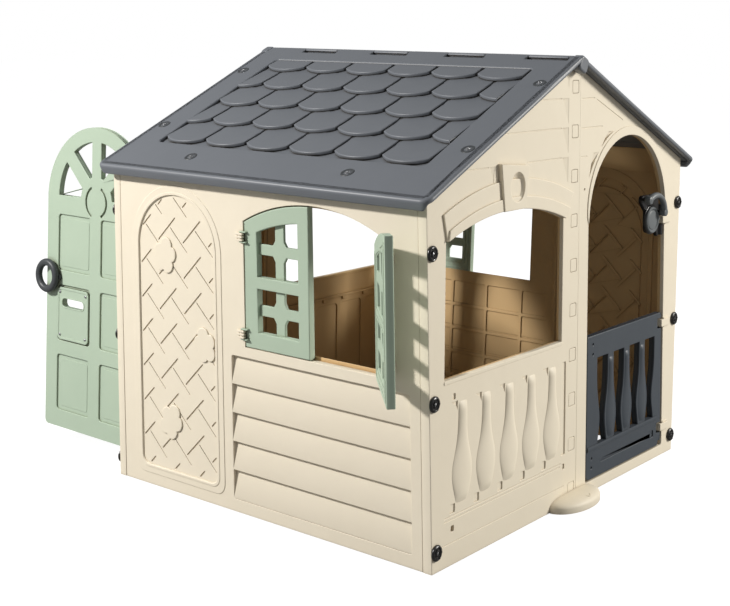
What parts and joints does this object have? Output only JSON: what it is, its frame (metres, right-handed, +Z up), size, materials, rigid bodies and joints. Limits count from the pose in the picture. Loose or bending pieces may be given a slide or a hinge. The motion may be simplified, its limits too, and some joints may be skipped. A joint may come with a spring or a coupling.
{
  "type": "plastic playhouse",
  "caption": "Child's plastic playhouse with a pitched shingled roof, arched windows with swinging shutters, a full door, a half gate and a toy telephone.",
  "frame": {"origin": "on the ground, under the middle of the whole house as it stands with its back door open", "axes": "+Z up; +X to the right when facing the front gable (the one with the half gate); the ridge runs along Y and the front gable faces -Y"},
  "size_m": [1.6038, 1.5366, 1.1419],
  "materials": {
    "cream_plastic": "warm cream moulded polyethylene with a soft satin surface",
    "sage_plastic": "pale sage green moulded polyethylene, soft satin",
    "slate_plastic": "blue-grey slate moulded polyethylene, satin",
    "gate_plastic": "dark blue-grey moulded polyethylene, satin",
    "charcoal_plastic": "charcoal grey moulded plastic",
    "black_plastic": "black moulded plastic",
    "steel": "zinc-plated steel screw"
  },
  "bodies": {
    "house": {"front_gable_window_half": "cream_plastic", "front_gable_door_half": "cream_plastic", "back_gable_window_half": "cream_plastic", "back_gable_door_half": "cream_plastic", "left_wall": "cream_plastic", "right_wall": "cream_plastic", "left_roof_panel": "slate_plastic", "right_roof_panel": "slate_plastic", "front_anchor_foot": "cream_plastic", "back_anchor_foot": "cream_plastic", "front_bolt_window_side_1": "black_plastic", "front_bolt_window_side_2": "black_plastic", "front_bolt_window_side_3": "black_plastic", "front_bolt_door_side_1": "black_plastic", "front_bolt_door_side_2": "black_plastic", "front_bolt_door_side_3": "black_plastic", "back_bolt_window_side_1": "black_plastic", "back_bolt_window_side_2": "black_plastic", "back_bolt_window_side_3": "black_plastic", "back_bolt_door_side_1": "black_plastic", "back_bolt_door_side_2": "black_plastic", "back_bolt_door_side_3": "black_plastic", "left_roof_screw_1": "steel", "left_roof_screw_2": "steel", "left_roof_screw_3": "steel", "left_roof_screw_4": "steel", "left_roof_screw_5": "steel", "left_roof_screw_6": "steel", "right_roof_screw_1": "steel", "right_roof_screw_2": "steel", "right_roof_screw_3": "steel", "right_roof_screw_4": "steel", "right_roof_screw_5": "steel", "right_roof_screw_6": "steel"},
    "back_door": {"back_door": "sage_plastic", "door_pull_ring": "charcoal_plastic", "letter_plate": "sage_plastic", "letter_plate_screw_1": "steel", "letter_plate_screw_2": "steel", "letter_plate_screw_3": "steel", "letter_plate_screw_4": "steel"},
    "front_gate": {"front_gate": "gate_plastic"},
    "phone": {"phone_base": "black_plastic"},
    "phone_dial": {"phone_dial": "charcoal_plastic"},
    "handset": {"phone_handset": "charcoal_plastic"},
    "left_shutter_centre": {"left_shutter_centre": "sage_plastic"},
    "left_shutter_corner": {"left_shutter_corner": "sage_plastic"},
    "right_shutter_centre": {"right_shutter_centre": "sage_plastic"},
    "right_shutter_corner": {"right_shutter_corner": "sage_plastic"}
  },
  "joints": [
    {"name": "back_door_hinge", "type": "hinge", "parent": "house", "child": "back_door", "pos_m": [-0.514, 0.31284, 0.48], "axis": [0, 0, 1], "range_deg": [-89, 11]},
    {"name": "front_gate_hinge", "type": "hinge", "parent": "house", "child": "front_gate", "pos_m": [0.514, -0.69856, 0.22], "axis": [0, 0, 1], "range_deg": [0, 100]},
    {"name": "phone_swing", "type": "hinge", "parent": "house", "child": "phone", "pos_m": [0.514, -0.69856, 0.671], "axis": [0, 0, 1], "range_deg": [0, 75]},
    {"name": "phone_dial_turn", "type": "hinge", "parent": "phone", "child": "phone_dial", "pos_m": [0.452, -0.70786, 0.676], "axis": [0, -1, 0], "continuous": true},
    {"name": "handset_lift", "type": "slide", "parent": "phone", "child": "handset", "axis": [0, -1, 0], "range_m": [0, 0.04]},
    {"name": "left_shutter_centre_hinge", "type": "hinge", "parent": "house", "child": "left_shutter_centre", "pos_m": [-0.59399, -0.14686, -0.00028], "axis": [-0.0465, 0, 0.9989], "range_deg": [-175, 0]},
    {"name": "left_shutter_corner_hinge", "type": "hinge", "parent": "house", "child": "left_shutter_corner", "pos_m": [-0.59399, -0.59686, -0.00028], "axis": [-0.0465, 0, 0.9989], "range_deg": [-134, 41]},
    {"name": "right_shutter_centre_hinge", "type": "hinge", "parent": "house", "child": "right_shutter_centre", "pos_m": [0.59399, -0.23886, -0.00028], "axis": [0.0465, 0, 0.9989], "range_deg": [-41, 134]},
    {"name": "right_shutter_corner_hinge", "type": "hinge", "parent": "house", "child": "right_shutter_corner", "pos_m": [0.59399, 0.21114, -0.00028], "axis": [0.0465, 0, 0.9989], "range_deg": [0, 175]}
  ]
}
